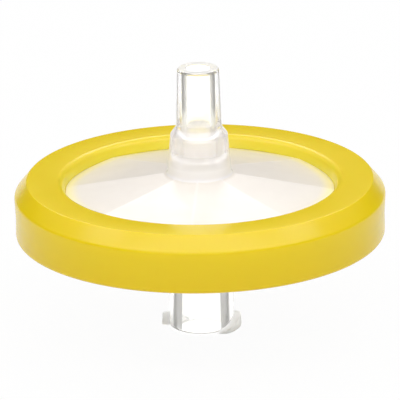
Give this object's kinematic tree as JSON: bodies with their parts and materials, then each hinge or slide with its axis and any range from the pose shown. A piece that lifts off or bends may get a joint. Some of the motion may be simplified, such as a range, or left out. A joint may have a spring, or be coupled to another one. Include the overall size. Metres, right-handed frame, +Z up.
{
  "type": "syringe filter",
  "caption": "Disc-shaped syringe filter: clear housings over a membrane, a yellow sealing ring, a socket below and a slip cone above.",
  "frame": {"origin": "middle of the inlet's flat rim, which is the lowest face", "axes": "+Z up the flow axis from the inlet socket to the outlet cone; +X points close to the tall end of one lock lug"},
  "size_m": [0.035, 0.035, 0.0256],
  "materials": {
    "housing": "clear moulded plastic, glossy",
    "membrane": "fine porous polymer film, matt",
    "ring": "moulded yellow plastic, semi-gloss"
  },
  "bodies": {
    "root": {"outlet_housing": "housing", "inlet_housing": "housing", "membrane": "membrane", "sealing_ring": "ring"}
  },
  "joints": []
}
